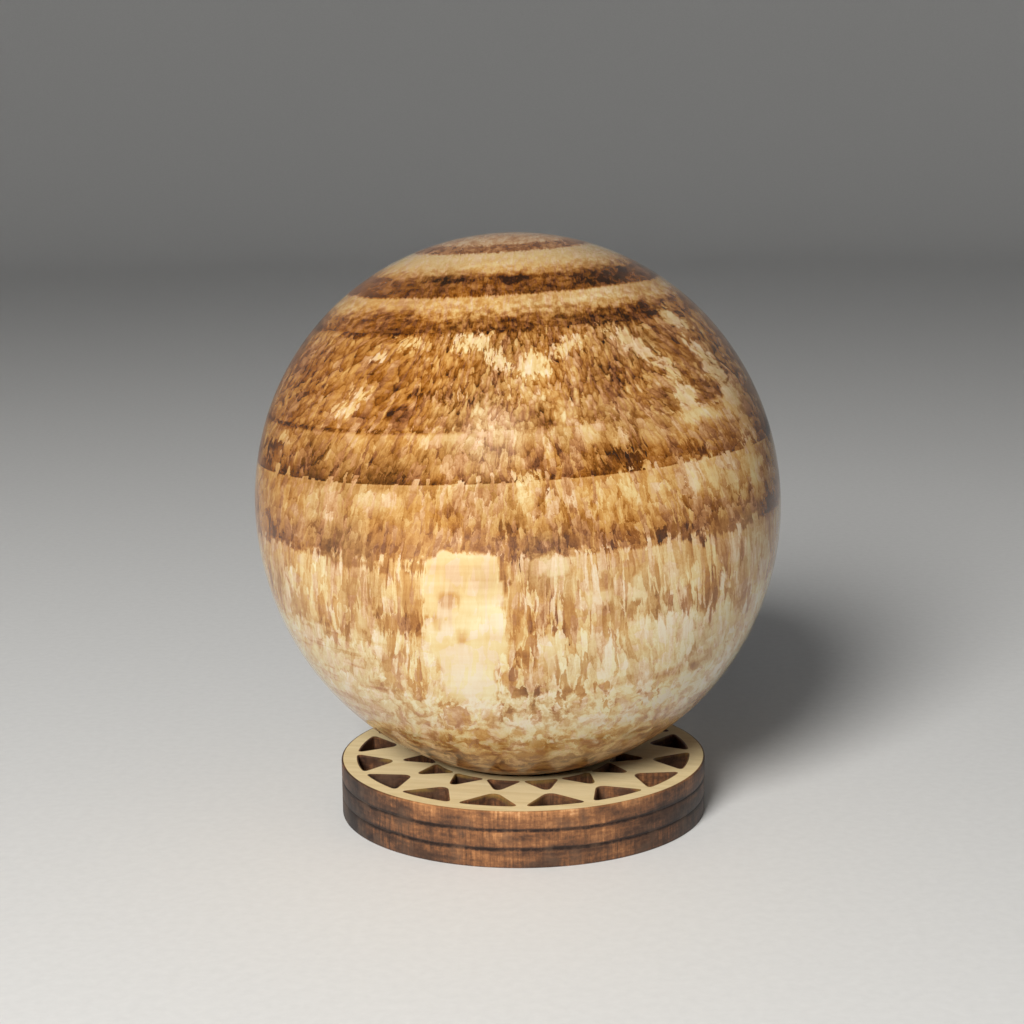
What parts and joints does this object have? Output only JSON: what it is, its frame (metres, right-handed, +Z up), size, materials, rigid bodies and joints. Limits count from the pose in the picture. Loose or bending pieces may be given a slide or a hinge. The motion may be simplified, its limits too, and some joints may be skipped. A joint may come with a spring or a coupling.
{
  "type": "decorative sphere",
  "caption": "Polished banded stone ball, a little taller than wide, resting in the hole of a round pierced plywood ring stand.",
  "frame": {"origin": "middle of the stand's underside, on the surface that the part stands on", "axes": "+Z up through the hole of the stand and the stone; -Y is the front, where one diamond of the pattern points"},
  "size_m": [0.0563, 0.0558, 0.063],
  "materials": {
    "polished_stone": "polished banded stone, brown and cream, fibrous, mirror-smooth",
    "plywood": "bare pale plywood, laser-cut, with scorched brown edges"
  },
  "bodies": {
    "root": {"stone_sphere": "polished_stone", "plywood_stand": "plywood"}
  },
  "joints": []
}
